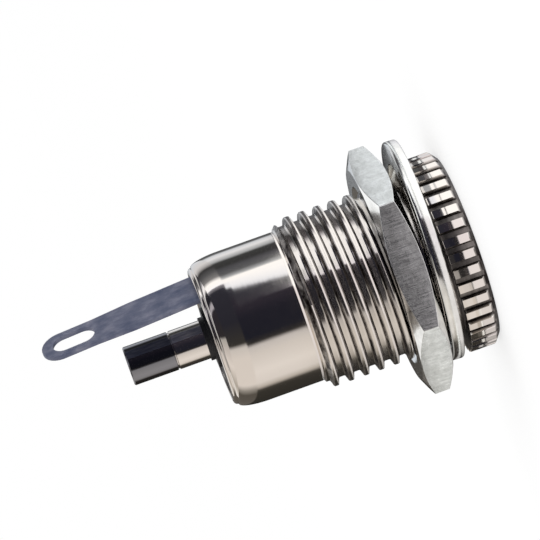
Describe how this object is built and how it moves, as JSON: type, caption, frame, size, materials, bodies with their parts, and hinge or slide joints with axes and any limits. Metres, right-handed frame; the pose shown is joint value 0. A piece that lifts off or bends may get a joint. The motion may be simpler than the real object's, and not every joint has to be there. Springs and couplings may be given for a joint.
{
  "type": "dc barrel jack",
  "caption": "Round panel mounting power socket for a barrel plug, with knurled head, threaded neck, washer, hex nut, solder cup and ground lug.",
  "frame": {"origin": "centre of the head's front face, on the barrel's axis", "axes": "+Z along the barrel from the head to the terminals; the nut's flats face -Y and +Y; the ground lug lies between +X and -Y"},
  "size_m": [0.0162, 0.0144, 0.0272],
  "materials": {
    "nickel_plate": "polished nickel plate on brass",
    "pin_nickel": "turned nickel plate on brass",
    "washer_nickel": "nickel plate, pressed",
    "nut_nickel": "nickel plate, satin with tool marks",
    "tinned_strip": "matte tin on stamped strip",
    "black_plastic": "moulded"
  },
  "bodies": {
    "jack": {"shell": "nickel_plate", "socket_insulator": "black_plastic", "rear_insulator": "black_plastic", "centre_pin": "pin_nickel", "ground_lug": "tinned_strip", "flat_washer": "washer_nickel"},
    "nut": {"hex_nut": "nut_nickel"}
  },
  "joints": [
    {"name": "nut_travel", "type": "slide", "parent": "jack", "child": "nut", "axis": [0, 0, 1], "range_m": [-0.0001, 0.005]}
  ]
}
